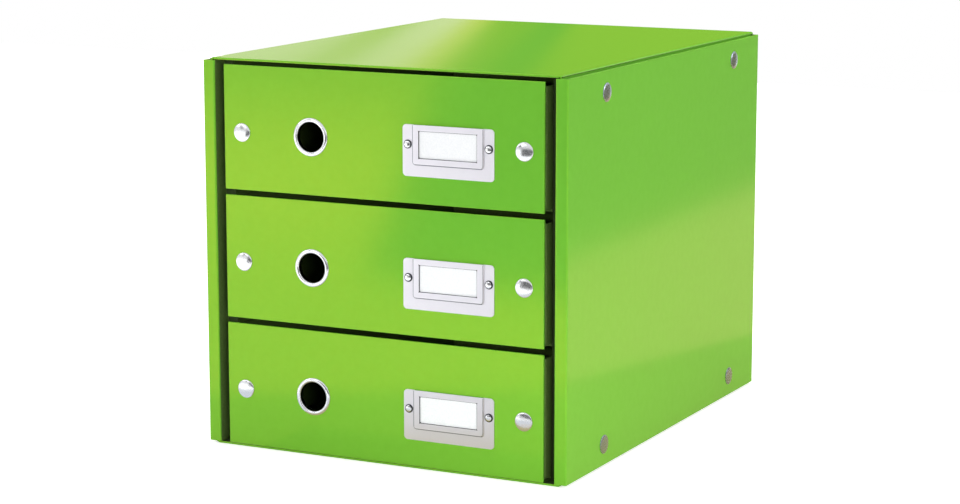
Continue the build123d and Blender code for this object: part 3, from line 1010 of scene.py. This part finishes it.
# %% Panels behind the cabinet
behind, foot, head = 0.5, 0.27, 0.5
edges = [
    (-1.2, -1.2), (-0.286, -0.702), (-0.255, -0.631), (-0.22, -0.52), (-0.202, -0.46),
    (-0.145, -0.419), (-0.131, -0.316), (0.25, 0.25),
]  # fmt: skip
shades = ["#EBE6C4", "#ABBC4B", "#F4ECD0", "#E2DC6A", "#8AB33F", "#6CA83F", "#95BB3C"]
for number, shade in enumerate(shades):
    (left_foot, left_head), (right_foot, right_head) = edges[number], edges[number + 1]
    panel_at(
        f"behind_{number}",
        shade,
        (left_foot, behind, foot),
        (right_foot, behind, foot),
        (left_head, behind, head),
        (right_head, behind, head),
    )
panel_at(
    "behind_far",
    "#8A8434",
    *((x, 1.5, z) for z in (0.2, 2.5) for x in (-0.95, 0.2)),
)

# %% [markdown]
# The right side mirrors three things: a grey panel that stands on the floor, a warm bright panel
# laid on the floor in front of it, and close to the cabinet a duller panel that paints the
# cabinet's shadow on the floor.

# %% Panels on the right
just_above_floor = 0.3 * mm
panel_at(
    "right_wall",
    "#938F72",
    *((0.51, y, z) for z in (0, 0.36) for y in (-0.4, 1.8)),
)
panel_at(
    "right_floor",
    "#FFDEB4",
    *((x, y, just_above_floor) for y in (-0.3, 1.4) for x in (0.05, 0.515)),
)
# Painted shadow: this duller panel stands in for the cabinet's shadow on the floor.
panel_at(
    "right_painted_floor_shadow",
    "#C4BC88",
    *(
        (x, y, 2 * just_above_floor)
        for x, y in ((-0.1, -0.25), (0.381, -0.25), (-0.1, 0.55), (0.153, 0.55))
    ),
)

# %% [markdown]
# The front mirrors a low grey panel that ends on the left in a slant, and at the cabinet's foot a
# panel a little duller than the floor, which paints the cabinet's shadow on the floor. A slanted
# dark panel on the left gives each stud the dark wedge in its dome.

# %% Panels in front
panel_at(
    "front_wall",
    "#707070",
    *((x, -0.8, z) for x, z in ((-0.36, 0), (0.6, 0), (-0.265, 0.24), (0.6, 0.24))),
)
# Painted shadow: this duller panel stands in for the cabinet's shadow on the floor at its foot.
panel_at(
    "front_painted_floor_shadow",
    "#ECF2F8",
    *(
        (x, y, just_above_floor)
        for x, y in ((-0.45, -0.18), (0.3, -0.605), (-0.45, -0.1), (0.3, -0.17))
    ),
)
panel_at(
    "front_left",
    "#505050",
    *((x, -1.2, z) for x, z in ((-0.75, 0.26), (-0.56, 0.26), (-1.25, 1.05), (-0.7, 1.05))),
)

# %% [markdown]
# ## Camera
# The photograph was taken from the right and slightly above, with a long lens: the lens and the
# distance follow from how little the far edges shrink. The numbers come from fitting the
# cabinet's corners to the picture. A shifted lens would keep the uprights quite parallel, but
# every other view would keep that shift too, so the camera has none.

# %% Camera
azimuth, elevation = radians(26.659), radians(10.161)
distance, right_of_middle, below_middle = 1926.304, 1.985, 11.309
sensor_width, image_width, focal_length_in_pixels = 36, 960, 2578.524
towards_camera = Vector(
    (sin(azimuth) * cos(elevation), -cos(azimuth) * cos(elevation), sin(elevation))
)
to_right = Vector((cos(azimuth), sin(azimuth), 0))
upwards = towards_camera.cross(to_right)
drawers_middle = Vector((0, -29 * mm, 140 * mm))
aim_at = drawers_middle + to_right * right_of_middle * mm - upwards * below_middle * mm
lens_view = bpy.data.cameras.new("long_lens")
lens_view.sensor_width = sensor_width
lens_view.lens = sensor_width * focal_length_in_pixels / image_width
lens_view.clip_start = 0.05
camera = bpy.data.objects.new("camera", lens_view)
bpy.context.scene.collection.objects.link(camera)
camera.location = aim_at + towards_camera * distance * mm
camera.rotation_euler = towards_camera.to_track_quat("Z", "Y").to_euler()
bpy.context.scene.camera = camera
bpy.context.scene.view_settings.view_transform = "Standard"
print("lens", round(lens_view.lens, 1), "mm; camera at", [round(c, 3) for c in camera.location])
